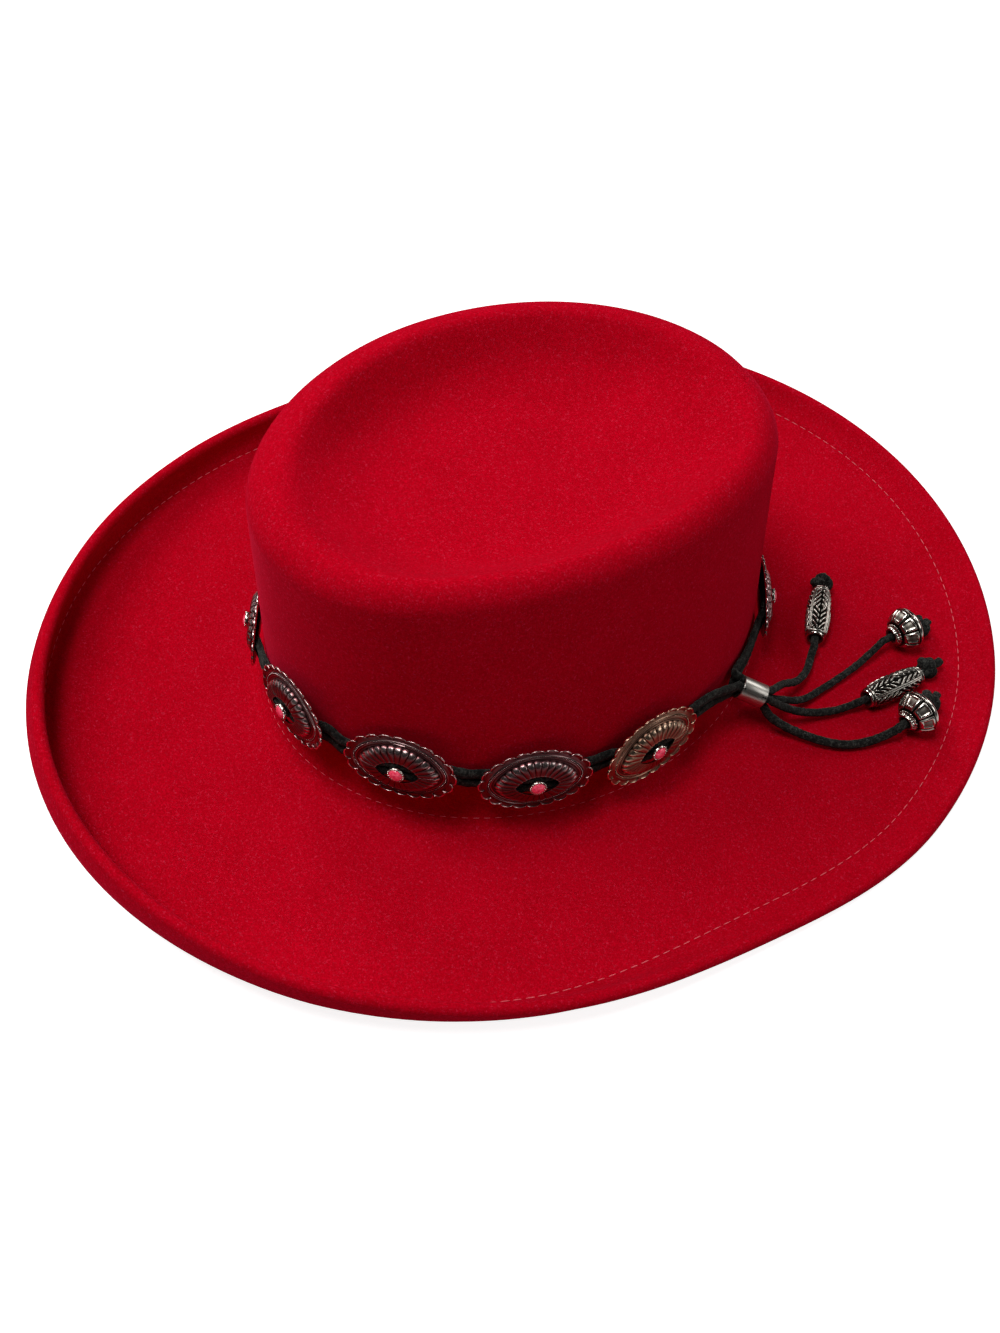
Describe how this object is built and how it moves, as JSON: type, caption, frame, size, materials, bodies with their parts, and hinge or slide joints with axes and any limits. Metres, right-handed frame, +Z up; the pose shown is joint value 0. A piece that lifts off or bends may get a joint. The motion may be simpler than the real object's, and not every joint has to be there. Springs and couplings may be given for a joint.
{
  "type": "gambler hat",
  "caption": "Felt gambler hat with a telescope crown, a rolled and welted brim, and a band of oval conchos on suede laces that end in beads and knots.",
  "frame": {"origin": "on the surface that the hat rests on, under the middle of the felt body's box", "axes": "+Z up, -Y towards the wearer's front, +X towards the wearer's left"},
  "size_m": [0.3146, 0.394, 0.112],
  "materials": {
    "felt": "brushed wool felt",
    "suede": "black suede",
    "antique_silver": "antiqued silver plate",
    "plain_silver": "worn silver plate",
    "crystal": "faceted, foil backed"
  },
  "bodies": {
    "root": {"felt_body": "felt", "upper_lace": "suede", "lower_lace": "suede", "concho_1": "antique_silver", "concho_2": "antique_silver", "concho_3": "antique_silver", "concho_4": "antique_silver", "concho_5": "antique_silver", "concho_6": "antique_silver", "concho_7": "antique_silver", "concho_8": "antique_silver", "concho_9": "antique_silver", "concho_10": "antique_silver", "concho_11": "antique_silver", "stone_1": "crystal", "stone_2": "crystal", "stone_3": "crystal", "stone_4": "crystal", "stone_5": "crystal", "stone_6": "crystal", "stone_7": "crystal", "stone_8": "crystal", "stone_9": "crystal", "stone_10": "crystal", "stone_11": "crystal", "sleeve": "plain_silver", "tail_1": "suede", "tail_2": "suede", "tail_3": "suede", "tail_4": "suede", "bead_1": "antique_silver", "bead_2": "antique_silver", "bead_3": "antique_silver", "bead_4": "antique_silver", "knot_1": "suede", "knot_2": "suede", "knot_3": "suede", "knot_4": "suede"}
  },
  "joints": []
}
